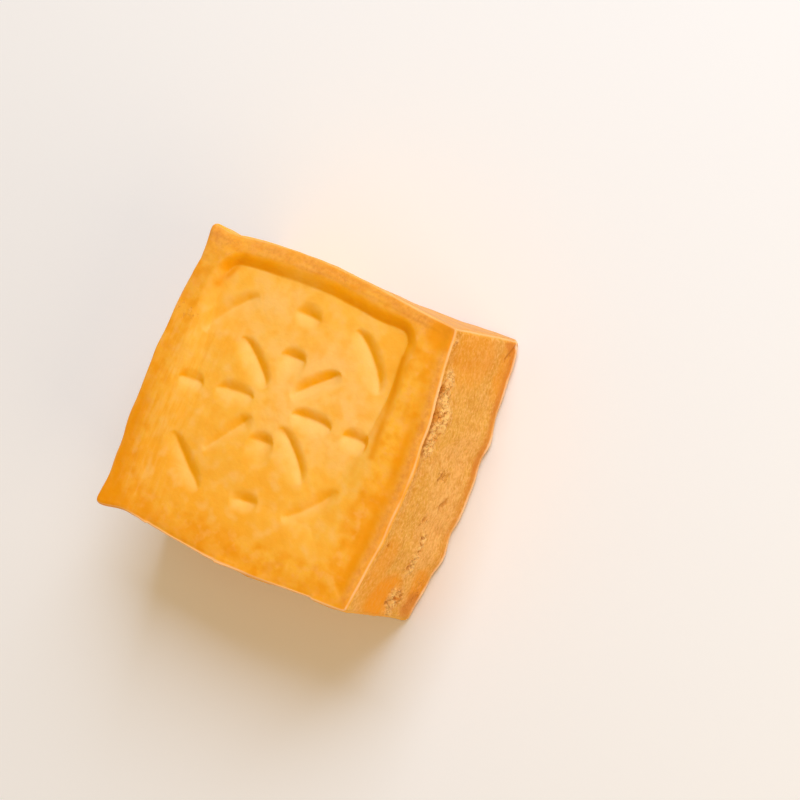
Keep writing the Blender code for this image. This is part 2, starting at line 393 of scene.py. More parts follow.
def panel_edge(x, y):
    """How far a point lies outside the panel, a rounded rectangle (below 0 inside), and how crisply the
    panel was pressed there, from 0 along its front to 1 along its back."""
    away_x = x - PANEL_CENTRE[0]
    away_y = y - PANEL_CENTRE[1]
    past_x = np.abs(away_x) - (PANEL_HALF[0] - PANEL_CORNER)
    past_y = np.abs(away_y) - (PANEL_HALF[1] - PANEL_CORNER)
    outside = np.hypot(np.maximum(past_x, 0), np.maximum(past_y, 0))
    edge = outside + np.minimum(np.maximum(past_x, past_y), 0) - PANEL_CORNER
    return edge, smooth(0.55 + 0.15 * away_x / PANEL_HALF[0] + 0.60 * away_y / PANEL_HALF[1])


def panel_depth(x, y):
    """How far the panel lies below the rim. It is deepest where it was pressed crisply.

    A wall is a power curve, so it leaves the rim gently and meets the floor at a crease."""
    edge, crisp = panel_edge(x, y)
    depth = PANEL_DEPTH[0] + (PANEL_DEPTH[1] - PANEL_DEPTH[0]) * crisp
    wall = PANEL_WALL[0] + (PANEL_WALL[1] - PANEL_WALL[0]) * crisp
    pillow = arch(x - PANEL_CENTRE[0], PANEL_HALF[0]) * arch(y - PANEL_CENTRE[1], PANEL_HALF[1])
    return depth * np.clip(-edge / wall, 0, 1) ** PANEL_WALL_CURVE - PANEL_PILLOW * pillow


def hollow(place, line, lean):
    """The depth across a stroke, whose place runs from -1 to 1: 1 at the deepest line and 0 at both ends.

    The wall is the side that the stamp leant towards, the floor the other. Each is a power curve, and
    the smaller of the two is taken, with a little rounding where they meet."""
    wall = np.clip((1 - lean * place) / (1 - lean * line), 0, None) ** STROKE_WALL_CURVE
    floor = np.clip((1 + lean * place) / (1 + lean * line), 0, None) ** STROKE_FLOOR_CURVE
    return np.clip((wall + floor - np.hypot(wall - floor, STROKE_ROUNDING)) / 2, 0, 1)


def stroke(along, across, length, width, heading):
    """The depth of a blunt stroke of the stamp, from 0 outside it to about 1 on its deepest line.

    Along runs from 0 to 1 the way the stroke heads, and across is to the left of that. The stamp
    leant towards +Y. So from the long edge on that side, or from the end of a stroke that heads along
    Y, a wall falls ever more steeply to the deepest line, and from there the floor rises gently. The
    other way the stroke is rounded alike at both ends."""
    lengthways = 2 * along - 1
    sideways = 2 * across / width / np.clip(1 - lengthways**2, 1e-3, 1) ** STROKE_BLUNT
    leans = ((lengthways, length, 4, math.sin(heading) ** 7), (sideways, width, 2, math.cos(heading)))
    depth = 1
    for place, extent, flat, lean in leans:
        rounded = 1 - np.clip(np.abs(place), 0, 1) ** flat
        leant = hollow(place, math.copysign(1 - 2 * STROKE_WALL / extent, lean), math.copysign(1, lean))
        depth = depth * (rounded + smooth(2.5 * abs(lean)) * (leant - rounded))
    return depth


def straight_stroke(x, y, angle, start, end, width):
    """A stroke that runs outwards from the flower's centre."""
    along = (x * math.cos(angle) + y * math.sin(angle) - start) / (end - start)
    across = y * math.cos(angle) - x * math.sin(angle)
    return stroke(along, across, end - start, width, angle)


def curved_stroke(x, y, angle, radius, half_angle, width):
    """A stroke that bends round the flower's centre."""
    turned = np.arctan2(y, x) - angle
    turned = (turned + math.pi) % (2 * math.pi) - math.pi
    along = 0.5 + turned / (2 * half_angle)
    return stroke(along, radius - np.hypot(x, y), 2 * half_angle * radius, width, angle + math.pi / 2)


def stamp_share(x, y):
    """The stamped flower's depth, as a share of the deepest. A seeded draw presses each stroke unevenly."""
    draw = np.random.default_rng(STAMP_SEED)
    x = x - FLOWER_CENTRE[0]
    y = y - FLOWER_CENTRE[1]
    pressed = np.zeros_like(x)
    for petal in range(PETALS):
        angle = FLOWER_TURN + 2 * math.pi * petal / PETALS + draw.uniform(-0.06, 0.06)
        end = PETAL_END[petal % 2] * draw.uniform(0.94, 1.06)
        depth = draw.uniform(0.7, 1.1)
        leaf = straight_stroke(x, y, angle, PETAL_START, end, PETAL_WIDTH)
        if petal % 2:
            outer = curved_stroke(x, y, angle, BAR_RADIUS, BAR_ANGLE, STROKE_WIDTH)
        else:
            inner = DOT_RADIUS - DOT_LENGTH / 2
            outer = straight_stroke(x, y, angle, inner, inner + DOT_LENGTH, STROKE_WIDTH)
        pressed = np.maximum(pressed, depth * np.maximum(leaf, 0.85 * outer))
    return pressed


def shifted(x, y, size):
    """The place whose form a point takes: noise shifts it by a fraction of a millimetre, so that no
    outline of the stamp is quite regular."""
    flat = np.stack([x, y, np.zeros_like(x)], axis=1)
    shift_x, shift_y = (size.unevenness * noise(flat, WAVER_CELL, seed) for seed in WAVER_SEEDS)
    return x + shift_x, y + shift_y


def pressed_depth(x, y, size):
    """How far the panel and the flower lie below the rim."""
    x, y = shifted(x, y, size)
    return panel_depth(x, y) + size.stamp_depth * stamp_share(x, y)


def pressed_face(points, size):
    """Lowers the stamped face: the rim rolls off to the edges, and the panel and flower sink in."""
    x, y, z = points.T
    fall, reach = RIM_FALL
    to_left = (x + size.width / 2) / reach
    to_back = (size.length / 2 - y) / reach
    rolled = fall * (2 - smooth(to_left) - smooth(to_back))
    upper = smooth(2 * z / size.thickness - 1)
    inside = np.maximum(np.abs(x) / (size.width / 2), np.abs(y) / (size.length / 2)) < 1
    z = z - upper * (np.where(inside, pressed_depth(x, y, size), 0) + 0.5 * rolled)
    return np.stack([x, y, z], axis=1)


def grooved_side(points, size):
    """Draws the +X side in behind the lip of skin."""
    x, y, z = points.T
    below = size.thickness - z
    groove = bell(below, GROOVE_BELOW, GROOVE_HALF)
    outer = smooth((x - 0.46 * size.width) / (0.04 * size.width))
    x = x - GROOVE_DEPTH * groove * outer * arch(y, size.length / 2)
    return np.stack([x, y, z], axis=1)


# ---------------------------------------------------------------- the fine relief


def texture(points, name):
    """One of the noises that make the surface uneven, times its height or strength."""
    strength, cell, seed, layers = TEXTURES[name]
    return strength * layered_noise(points, cell, seed, layers)


def band(value, name):
    """1 in the middle of one of the soft bands and dying away on both sides as a bell curve."""
    return bell(value, *BANDS[name])


def scratches(points, name):
    """1 along short thin lines, where a noise passes 0, and 0 where it is more than 0.2 away from that."""
    return ramp(np.abs(texture(points, name)), 0.2, 0.0)


def patches(first, second, places):
    """How far a point lies in any of some soft oval patches, from 0 to the strength of the patch. A patch
    is full out to about half of its half lengths, and has died away at 1.3 of them."""
    share = np.zeros_like(first)
    for middle_1, middle_2, half_1, half_2, strength in places:
        away = np.hypot((first - middle_1) / half_1, (second - middle_2) / half_2)
        share = np.maximum(share, strength * smooth(1.7 - 1.3 * away))
    return share


def off_segment(first, second, start, end):
    """How far a point lies from the straight line between two points."""
    line = np.subtract(end, start)
    reach = np.stack([first - start[0], second - start[1]])
    along = np.clip(line @ reach / (line @ line), 0, 1)
    return np.hypot(*(reach - line[:, None] * along))


def surface_places(plain, outward, size):
    """Where each point of the plain block lies, as named arrays.

    Left, right, front and back are the distances in from those edges of the stamped face. Over is how
    far a point lies past the nearest one: below 0 on the face, above 0 down the sides. Face, side,
    right_side and back_side are 1 on those surfaces and 0 off them. To_ear is the distance from the
    corner with the ear, and to_corner the one from the corner of +X and +Y."""
    x, y, z = plain.T
    at = SimpleNamespace(points=plain, x=x, y=y, z=z)
    at.below = size.thickness - z
    at.left, at.right = x + size.width / 2, size.width / 2 - x
    at.front, at.back = y + size.length / 2, size.length / 2 - y
    at.over = at.below - np.minimum.reduce([at.left, at.right, at.front, at.back])
    at.to_ear, at.to_corner = np.hypot(at.left, at.back), np.hypot(at.right, at.back)
    at.face = ramp(outward[:, 2], 0.35, 0.75)
    at.side = ramp(np.abs(outward[:, :2]).max(axis=1), 0.45, 0.80)
    past = (np.abs(x) - size.width / 2) - (np.abs(y) - size.length / 2)
    at.right_side = ramp(past, -0.0008, 0.0008) * (x > 0)
    at.back_side = ramp(past, 0.0008, -0.0008) * (y > 0)
    return at


def slopes(x, y, size):
    """How steeply the pressed face falls towards -X and towards -Y: the depth it gains on the way."""
    step = SLOPE_STEP
    along_x = pressed_depth(x - step, y, size) - pressed_depth(x + step, y, size)
    along_y = pressed_depth(x, y - step, size) - pressed_depth(x, y + step, size)
    return along_x / (2 * step), along_y / (2 * step)


def face_relief(at, size):
    """The stamped face's skin: soft lumps, streaks where the cloth dragged, wrinkles in the ear, and
    scratches. The walls that fall away from +Y, away from the main light, are told apart by their slope
    and get painted shade in their colour, and the slopes that face the light get a painted highlight. The
    painted shade on the wall round the panel is deeper, and fades for a stretch. Broad patches of the
    panel get painted light, and its front and left get painted shade."""
    points = at.points
    x, y = shifted(at.x, at.y, size)
    edge, _ = panel_edge(x, y)
    slope_x, slope_y = slopes(at.x, at.y, size)
    # Painted shade: fall is 1 on the slopes that face away from the main light, which stands towards +Y and
    # a little +X. Brim is 1 by the panel's wall.
    fall = ramp(slope_y + np.maximum(0.7 * slope_x, -0.4 * slope_x), 0.12, 0.62)
    brim = ramp(edge, -0.0042, -0.0032)
    faded = band(at.x, "faded wall")
    dragged = ramp(at.x, -0.010, -0.028) * ramp(at.y, 0.024, 0.004)
    scratched = at.face * patches(at.x, at.y, FACE_SCRATCHES)
    relief = texture(points, "lumps") + texture(points, "small lumps")
    relief += texture(points, "cloth drag") * dragged
    relief += texture(points, "back streaks") * band(at.back, "back streaks")
    relief += texture(points, "ear wrinkles") * band(at.to_ear, "ear")
    relief -= FACE_SCRATCH_DEPTH * scratches(points, "face scratches") * scratched
    masks = {
        "face": at.face,
        "panel": at.face * ramp(edge, 0.00036, -0.00204),
        # Painted light: broad patches where the main light falls fullest are coloured paler.
        "pale": at.face * patches(x, y, PAINTED_LIGHT_PATCHES),
        # Painted shade: darker towards the front and the left, where the main light falls off.
        "painted_shade": at.face * ramp(at.y + 0.4 * at.x, -0.002, -0.032),
        # Painted shade on the walls that face away from the main light, and deeper painted shade on the
        # panel's wall.
        "fall": at.face * fall * (1 - 0.35 * brim * faded),
        "brim": at.face * fall * brim * (1 - faded),
        # Painted highlight: the slopes that face the main light are coloured paler.
        "rise": at.face * ramp(slope_y, -0.03, -0.38),
        "drag": at.face * dragged,
        "scratch": scratched,
    }
    return at.face * relief, masks


def crumb_form(points):
    """The height of broken flesh, from 0 in the gaps to 1 on the curly crumbs, which lie where either of
    two noises passes 0."""
    first, second = (np.abs(texture(points, name)) for name in ("crumbs", "crossing crumbs"))
    return smooth(1.15 - 2.8 * np.minimum(first, second))


def side_relief(at):
    """The sides: shallow dents and short streaks of cloth. The +X side is flesh without skin: rough, with
    crumbs that broke loose, a gap between them and the lip of skin, pits, scratches and a crease."""
    points = at.points
    flesh = at.right_side * ramp(at.over, 0.0002, 0.0008)
    ragged_y = at.y + texture(points, "ragged along")
    ragged_below = at.below + texture(points, "ragged down")
    crumb = flesh * patches(ragged_y, ragged_below, CRUMB_PATCHES)
    form = crumb_form(points)
    near, far, below, half = LIP_GAP
    along = ramp(ragged_y, near, near + GAP_FADE) * ramp(ragged_y, far, far - GAP_FADE)
    gap = flesh * along * bell(0.6 * at.below + 0.4 * ragged_below, below, half)
    pit = np.zeros_like(at.y)
    for middle_y, middle_below, radius in PITS:
        away = np.hypot(ragged_y - middle_y, (ragged_below - middle_below) / 0.8)
        pit = np.maximum(pit, flesh * bell(away, 0.0, radius))
    scratched = flesh * patches(ragged_y, ragged_below, SIDE_SCRATCHES)
    crease = flesh * band(off_segment(at.y, at.below, *CORNER_CREASE), "crease")
    red_foot = flesh * band(at.z, "reddish foot") * ramp(at.y, -0.034, 0.016)
    red_foot = red_foot * (0.9 + texture(points, "uneven red"))
    # Painted shade: the flesh just under the lip of skin, where its shade falls.
    under_lip = band(at.below, "under the lip") * ramp(at.y, -0.020, 0.010)
    relief = texture(points, "dents") + texture(points, "small dents")
    relief += texture(points, "cloth streaks") * (1 - at.right_side)
    relief += texture(points, "rough flesh") * flesh
    relief -= SIDE_SCRATCH_DEPTH * scratches(points, "side scratches") * scratched
    relief += crumb * (CRUMB_HEIGHT * form - CRUMB_BED_DEPTH)
    relief -= GAP_DEPTH * gap + PIT_DEPTH * pit + CREASE_DEPTH * crease
    masks = {
        "flesh": flesh,
        "amber": flesh * patches(ragged_y, ragged_below, AMBER_PATCHES),
        "red": flesh * np.maximum(patches(at.y, ragged_below, RED_PATCHES), red_foot),
        "rosy": flesh * patches(ragged_y, ragged_below, ROSY_PATCHES),
        # Painted shade under the lip, and a darker band near the back end.
        "dark": flesh * np.maximum(under_lip, 0.55 * band(at.back, "dark end")),
        "crumb": crumb,
        # The crumbs' height, by which painted shade is coloured into the gaps between them.
        "curl": form,
        # Painted shade in the gap by the lip, in the pits and in the crease.
        "gap": np.maximum.reduce([gap, 0.8 * pit, 0.7 * crease]),
        "scrape": scratched,
    }
    return at.side * (1 - at.face) * relief, masks


def deep_orange_marks(at):
    """Where the stamped face is a deep orange: along two edges and near two corners, and in lines of painted
    shade along the foot of the panel's walls.
    """
    left = band(at.left, "deep left") * ramp(at.y, 0.006, -0.014)
    front = 0.5 * band(at.front, "deep front")
    corners = patches(at.x, at.y, DEEP_PATCHES)
    # Painted shade along the foot of the panel's walls.
    lines = np.maximum(*(band(off_segment(at.x, at.y, *line), "wall shade line") for line in DEEP_LINES))
    lines = lines * (0.9 + texture(at.points, "uneven wall shade"))
    return at.face * np.maximum.reduce([left, front, corners, lines])


def peach_skin(at):
    """Where the stamped face is dry and peach coloured: along +Y and round the ear."""
    back = band(at.back, "peach back") * (0.65 + texture(at.points, "uneven back"))
    ear = 0.7 * band(at.to_ear, "peach ear") * (0.7 + texture(at.points, "uneven ear"))
    return at.face * np.maximum(back, ear)


def edge_relief(at):
    """The edges, with a thin lip of dry skin. Along +X and much of +Y it has a raised strip beside it, and
    along +X a valley behind that. It stands out along -Y too, where it has flaps and where its pale colour
    is a painted highlight; it is faint along -X, and it runs down the corner of +X and +Y as a ridge. Along
    +Y a painted shadow line lies just inside it. A bead of skin goes round the foot, its pale colour partly
    a painted highlight."""
    points = at.points
    uneven = 0.8 + texture(points, "uneven lip")
    on_back = at.back_side * ramp(at.x, -0.006, -0.002)
    on_front = band(at.front, "front lip") * ramp(at.x, -0.027, -0.019)
    half, more_back, more_right = LIP_HALF
    half = half + more_back * on_back + more_right * at.right_side * ramp(at.y, 0.010, 0.022)
    lip = bell(at.over + LIP_INSET * on_back, 0.0, half) * uneven
    # Along -Y the lip is stronger: it stands out more, and its pale colour is a painted highlight along an
    # edge that faces away from the main light.
    lip = lip * np.maximum(0.55 + 1.65 * on_front, at.right_side + 0.8 * on_back)
    ridge = 0.7 * band(at.right - at.back, "corner ridge") * (1 - at.face) * ramp(at.y, 0.0, 0.010)
    # A painted shadow line just inside the lip along +Y.
    shadow_line = band(at.over, "shadow_line") * on_back * uneven
    strip = band(at.over, "strip") * np.maximum(at.right_side, 0.9 * on_back)
    valley = band(at.over, "valley") * at.right_side * (0.8 + texture(points, "uneven valley"))
    # The bead round the foot: pale skin, whose pale colour is partly a painted highlight where the foot
    # faces down into the shade.
    foot = band(at.z, "foot") * at.side * (0.8 + texture(points, "uneven foot"))
    relief = LIP_HEIGHT * lip + STRIP_HEIGHT * strip - VALLEY_DEPTH * valley + FOOT_HEIGHT * foot
    for near, far, height in FRONT_FLAPS:
        along = ramp(at.x, near, near + FLAP_FADE[0]) * ramp(at.x, far, far - FLAP_FADE[1])
        relief += height * along * band(at.front, "flap inwards") * band(at.below, "flap downwards")
    burn = at.face * band(at.to_corner + texture(points, "ragged burn"), "burnt corner")
    dried = ramp(at.x + texture(points, "ragged dry skin"), -0.03025, 0.02475)
    masks = {
        "lip": np.maximum(lip, ridge),
        # The painted shadow line inside the lip along +Y, and the dark corner.
        "burn_and_shadow_line": np.maximum(0.6 * shadow_line, burn),
        "peach": np.maximum(strip, peach_skin(at)),
        "dry": smooth(1.6 * at.back_side) * (1 - at.face) * dried,
        # The valley, and the deep orange marks, which hold the painted shade along the foot of the panel's
        # walls.
        "deep": np.maximum(valley, deep_orange_marks(at)),
        "foot": foot * (0.6 + 0.4 * at.right_side),
    }
    return relief, masks


def fine_relief(plain, outward, size):
    """How far each point of the plain block moves outwards, and the masks that colour it."""
    at = surface_places(plain, outward, size)
    total = np.zeros(len(plain))
    masks = {}
    for relief, marked in (face_relief(at, size), side_relief(at), edge_relief(at)):
        total += relief
        masks.update(marked)
    return total, masks


# ---------------------------------------------------------------- the mesh


def graded(low, high, count):
    """Places from low to high that crowd towards both ends: an even step blended with a sine."""
    step = np.linspace(-1, 1, count + 1)
    crowded = (1 - CROWDING) * step + CROWDING * np.sin(step * math.pi / 2)
    return low + (high - low) * (crowded + 1) / 2


def drawn_together(place, counts):
    """Draws the inner points of the flat underside together, some cells to one, so that it takes few
    faces: each goes to the last place whose number the step divides."""
    low, high = UNDERSIDE_MARGIN, [count - UNDERSIDE_MARGIN for count in counts]
    inner = np.all([(place[axis] >= low) & (place[axis] <= high[axis]) for axis in (0, 1)], axis=0)
    for axis in (0, 1):
        coarse = np.clip(UNDERSIDE_STEP * (place[axis] // UNDERSIDE_STEP), low, high[axis])
        place[axis] = np.where(inner, coarse, place[axis])
    return place


def box_grid(counts):
    """The six faces of a lattice of cells: each surface point's place in it, and the quads, facing out."""
    sizes = np.array(counts) + 1
    keys = []
    quads = []
    for axis in range(3):
        first, second = (axis + 1) % 3, (axis + 2) % 3
        for end in (0, counts[axis]):
            a, b = np.meshgrid(np.arange(sizes[first]), np.arange(sizes[second]), indexing="ij")
            place = np.zeros((3, *a.shape), int)
            place[axis], place[first], place[second] = end, a, b
            if axis == 2 and end == 0:
                place = drawn_together(place, counts)
            key = place[0] + sizes[0] * (place[1] + sizes[1] * place[2])
            ring = [key[:-1, :-1], key[1:, :-1], key[1:, 1:], key[:-1, 1:]]
            ring = ring if end else ring[::-1]
            keys.append(key.ravel())
            quads.append(np.stack(ring, axis=-1).reshape(-1, 4))
    unique = np.unique(np.concatenate(keys))
    quads = np.searchsorted(unique, np.concatenate(quads))
    rows = unique // sizes[0]
    return np.stack([unique % sizes[0], rows % sizes[1], rows // sizes[1]], axis=1), quads


def split_quads(points, quads):
    """Splits each quad along its shorter diagonal, and drops halves whose corners were drawn together."""
    corners = points[quads]
    first = np.linalg.norm(corners[:, 0] - corners[:, 2], axis=1)
    second = np.linalg.norm(corners[:, 1] - corners[:, 3], axis=1)
    turned = np.where((first <= second)[:, None], quads, np.roll(quads, -1, axis=1))
    a, b, c = triangles = np.concatenate([turned[:, [0, 1, 2]], turned[:, [0, 2, 3]]]).T
    return triangles.T[(a != b) & (b != c) & (c != a)]


def rounded_box(size):
    """The plain block with rounded edges, as points, the way each faces, and quads.

    Each point of the sharp box is drawn in to the box that lies one radius inside, then pushed
    back out by the radius along the line between the two."""
    counts = (size.cells_across, size.cells_across, size.cells_up)
    place, quads = box_grid(counts)
    low = np.array([-size.width / 2, -size.length / 2, 0.0])
    high = np.array([size.width / 2, size.length / 2, size.thickness])
    lines = [graded(low[axis], high[axis], counts[axis]) for axis in range(3)]
    sharp = np.stack([lines[axis][place[:, axis]] for axis in range(3)], axis=1)
    inner = np.clip(sharp, low + size.edge_radius, high - size.edge_radius)
    outward = sharp - inner
    outward /= np.linalg.norm(outward, axis=1)[:, None]
    return inner + size.edge_radius * outward, outward, quads


def over_solid(points):
    """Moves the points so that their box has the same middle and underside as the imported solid's."""
    low, high = (np.array(corner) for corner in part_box(NODE))
    middle = (points.min(axis=0) + points.max(axis=0)) / 2
    shift = (low + high) / 2 - middle
    shift[2] = low[2] - points[:, 2].min()
    return points + shift


def mesh_object(name, points, triangles, masks):
    """An object with this mesh, shaded smooth, with each mask as an attribute of its points."""
    mesh = bpy.data.meshes.new(name)
    mesh.vertices.add(len(points))
    mesh.vertices.foreach_set("co", points.astype(np.float32).ravel())
    mesh.loops.add(triangles.size)
    mesh.loops.foreach_set("vertex_index", triangles.astype(np.int32).ravel())
    mesh.polygons.add(len(triangles))
    mesh.polygons.foreach_set("loop_start", np.arange(0, triangles.size, 3, dtype=np.int32))
    mesh.update(calc_edges=True)
    mesh.shade_smooth()
    for mask, values in masks.items():
        layer = mesh.attributes.new(mask, "FLOAT", "POINT")
        layer.data.foreach_set("value", np.clip(values, 0, 1).astype(np.float32))
    made = bpy.data.objects.new(name, mesh)
    bpy.context.scene.collection.objects.link(made)
    return made


# ---------------------------------------------------------------- materials


def tofu_material(colours, mask_names):
    """Pressed dried tofu, coloured by its brine and packed in cloth.

    The skin is dense, smooth and slightly moist, so it has a soft gloss and a little light goes
    through it. It is palest on the panel that the stamp pressed flat, with painted light on the slopes that
    face the main light and in broad patches, and a deeper orange along the rim. Painted shade makes it a
    deeper orange on the walls of the hollows that face away from the light, along the foot of the panel's
    walls and towards the front and left. Its edges are dry and peach coloured, and their thin pale lip is a
    painted highlight along -Y. The broken side is duller and rougher, with golden and rosy patches, pale
    crumbs, painted shade in brown in the gaps, pits and crease, and painted shade in a darker orange under
    the lip. Each mask is an attribute of the block's points."""
    material = bpy.data.materials.new("pressed dried tofu")
    material.use_nodes = True
    tree = material.node_tree
    tree.nodes.clear()
    place = add_node(tree, "ShaderNodeTexCoord").outputs["Object"]
    masks = {}
    for name in mask_names:
        masks[name] = add_node(tree, "ShaderNodeAttribute", attribute_name=name).outputs["Fac"]

    def mottle(cell, detail=2.0, stretch=(1.0, 1.0, 1.0), lean=0.0):
        """Noise from 0 to 1 whose blotches are one cell across, longer along a stretched axis. The lean
        turns the stretch about X."""
        links = {"Vector": place, "Scale": stretch, "Rotation": (lean, 0.0, 0.0)}
        turned = add_node(tree, "ShaderNodeMapping", links, vector_type="TEXTURE").outputs["Vector"]
        links = {"Vector": turned, "Scale": 1 / cell, "Detail": detail, "Roughness": 0.55}
        return add_node(tree, "ShaderNodeTexNoise", links).outputs["Fac"]

    def ranged(value, low, high, to_low=0.0, to_high=1.0):
        """The value, with low to high stretched to new limits and cut off outside them."""
        links = {"Value": value, "From Min": low, "From Max": high, "To Min": to_low, "To Max": to_high}
        return add_node(tree, "ShaderNodeMapRange", links).outputs["Result"]

    def product(first, second):
        return add_node(tree, "ShaderNodeMath", {0: first, 1: second}, operation="MULTIPLY").outputs[0]

    def within(name, value, low, high, to_low=0.0, to_high=1.0):
        """The value stretched in the same way, and times a mask, so that it is 0 outside it."""
        return product(masks[name], ranged(value, low, high, to_low, to_high))

    def lines_in(value, half):
        """Thin curved lines: 1 where a noise is 0.5, falling to 0 at half that much either side."""
        return product(ranged(value, 0.5 - half, 0.5), ranged(value, 0.5 + half, 0.5))

    def coated(base, *coats):
        """The base colour with each coat, a share and a colour, blended over the ones before."""
        for share, colour in coats:
            links = {0: share, 6: base, 7: colour}
            base = add_node(tree, "ShaderNodeMix", links, data_type="RGBA").outputs[2]
        return base

    blotch = mottle(0.0130, 1.0)
    patch = mottle(0.0080, 1.0)
    speck = mottle(0.0030, 2.0)
    fleck = mottle(0.0026, 2.0)
    grain = mottle(0.0009, 2.0)
    grit = mottle(0.0007, 2.0)
    cracks = mottle(0.0014, 2.0)
    nubs = mottle(0.0014, 2.0, (1.0, 1.0, 1.7))
    drag = mottle(0.0011, 2.0, (1.0, 6.0, 1.0))
    fibre = mottle(0.0006, 3.0, (1.0, 2.2, 1.0), math.radians(16))
    streak = mottle(0.0008, 2.0, (8.0, 1.0, 1.0))
    bands = mottle(0.0030, 3.0, (3.5, 3.5, 1.0))
    dapple = mottle(0.0034, 1.0)
    sides = ranged(masks["face"], 1.0, 0.0)
    cloudy = ranged(masks["face"], 0.0, 1.0, 0.35, 1.0)
    crack = product(lines_in(cracks, 0.05), ranged(fleck, 0.47, 0.54))
    chink = lines_in(nubs, 0.05)

    rim = coated(
        colours.rim_deep,
        (ranged(blotch, 0.34, 0.60), colours.rim),
        (ranged(speck, 0.50, 0.80, 0.0, 0.5), colours.panel),
        (within("face", fleck, 0.50, 0.66, 0.0, 0.7), colours.rim_rosy),
        (within("face", fleck, 0.48, 0.34, 0.0, 0.8), colours.rim_deep),
        (product(sides, ranged(bands, 0.50, 0.66, 0.0, 0.35)), colours.panel),
        (product(sides, ranged(bands, 0.48, 0.32, 0.0, 0.30)), colours.deep),
        (product(cloudy, ranged(dapple, 0.50, 0.70, 0.0, 0.55)), colours.panel),
        (product(cloudy, ranged(dapple, 0.50, 0.30, 0.0, 0.55)), colours.deep),
    )
    floor = coated(
        colours.panel,
        (ranged(blotch, 0.54, 0.34, 0.0, 0.5), colours.panel_deep_and_shade),
        # Painted light in broad patches of the panel.
        (within("pale", patch, 0.30, 0.60, 0.3, 0.8), colours.panel_pale_and_highlight),
        # Painted shade towards the panel's front and left.
        (within("painted_shade", patch, 0.66, 0.40, 0.4, 1.0), colours.panel_deep_and_shade),
        (ranged(speck, 0.52, 0.30, 0.0, 0.3), colours.panel_deep_and_shade),
        (ranged(dapple, 0.50, 0.70, 0.0, 0.45), colours.panel_pale_and_highlight),
        (ranged(dapple, 0.50, 0.30, 0.0, 0.5), colours.panel_deep_and_shade),
    )
    skin = coated(
        rim,
        (masks["panel"], floor),
        (within("drag", drag, 0.48, 0.68, 0.0, 0.25), colours.panel_pale_and_highlight),
        (within("drag", drag, 0.50, 0.34, 0.0, 0.5), colours.rim_deep),
        # Painted highlight on the slopes that face the main light.
        (product(masks["rise"], 0.5), colours.panel_pale_and_highlight),
        (within("peach", streak, 0.35, 0.65, 0.6, 0.95), colours.peach),
        (within("peach", grain, 0.48, 0.34, 0.0, 0.32), colours.flesh_red),
        (within("peach", grain, 0.54, 0.68, 0.0, 0.5), colours.rim_rosy),
        (within("dry", bands, 0.34, 0.54, 0.5, 0.95), colours.dry),
        (within("dry", grain, 0.48, 0.34, 0.0, 0.25), colours.flesh_red),
        # Painted shade: the walls that face away from the main light are coloured a deeper orange.
        (within("fall", fleck, 0.36, 0.66, 1.0, 0.75), colours.wall),
        # Deeper painted shade on the wall round the panel.
        (within("brim", speck, 0.34, 0.64, 1.0, 0.6), colours.panel_wall_shade),
        # Deep orange in the valley and the marks, with painted shade along the foot of the panel's walls.
        (product(masks["deep"], 0.85), colours.deep),
        (product(product(masks["scratch"], crack), 0.6), colours.flesh_red),
        # The painted shadow line inside the lip along +Y, and the dark corner.
        (product(masks["burn_and_shadow_line"], 0.35), colours.gap_shade_and_marks),
    )

    flesh = coated(
        colours.flesh,
        (ranged(patch, 0.50, 0.64, 0.0, 0.7), colours.flesh_rosy),
        (ranged(patch, 0.48, 0.34, 0.0, 0.7), colours.flesh_golden),
        (product(masks["rosy"], 0.8), colours.flesh_rosy),
        # Painted shade under the lip, and a darker band near the back end.
        (product(masks["dark"], 0.9), colours.flesh_dark_and_shade),
        (ranged(speck, 0.50, 0.34, 0.0, 0.4), colours.flesh_dark_and_shade),
        (ranged(fibre, 0.51, 0.67, 0.0, 0.65), colours.flesh_rosy),
        (ranged(fibre, 0.49, 0.33, 0.0, 0.45), colours.flesh_dark_and_shade),
        (ranged(grit, 0.52, 0.70, 0.0, 0.55), colours.crumb),
        (ranged(grit, 0.48, 0.30, 0.0, 0.45), colours.flesh_dark_and_shade),
        (within("amber", fibre, 0.30, 0.65, 1.0, 0.7), colours.flesh_deep),
        (product(masks["red"], 0.8), colours.flesh_red),
    )
    crumb = coated(
        colours.crumb_deep,
        (ranged(speck, 0.32, 0.50), colours.crumb),
        # Painted shade in the gaps between the curls.
        (ranged(masks["curl"], 0.35, 0.0, 0.0, 0.7), colours.gap_shade_and_marks),
        # Painted shade in the thin grooves between the crumbs.
        (product(chink, 0.55), colours.gap_shade_and_marks),
    )
    surface = coated(
        skin,
        (masks["flesh"], flesh),
        (ranged(masks["crumb"], 0.1, 0.8, 0.0, 0.95), crumb),
        # Painted shade in the gap by the lip, the pits and the crease.
        (product(masks["gap"], 0.85), colours.gap_shade_and_marks),
        (product(product(masks["scrape"], crack), 0.9), colours.gap_shade_and_marks),
        # The thin lip of pale dry skin; along -Y its pale colour is a painted highlight.
        (ranged(masks["lip"], 0.25, 0.85, 0.0, 0.9), colours.lip),
        # The bead round the foot, its pale colour partly a painted highlight.
        (ranged(masks["foot"], 0.3, 0.8, 0.0, 0.9), colours.foot),
    )

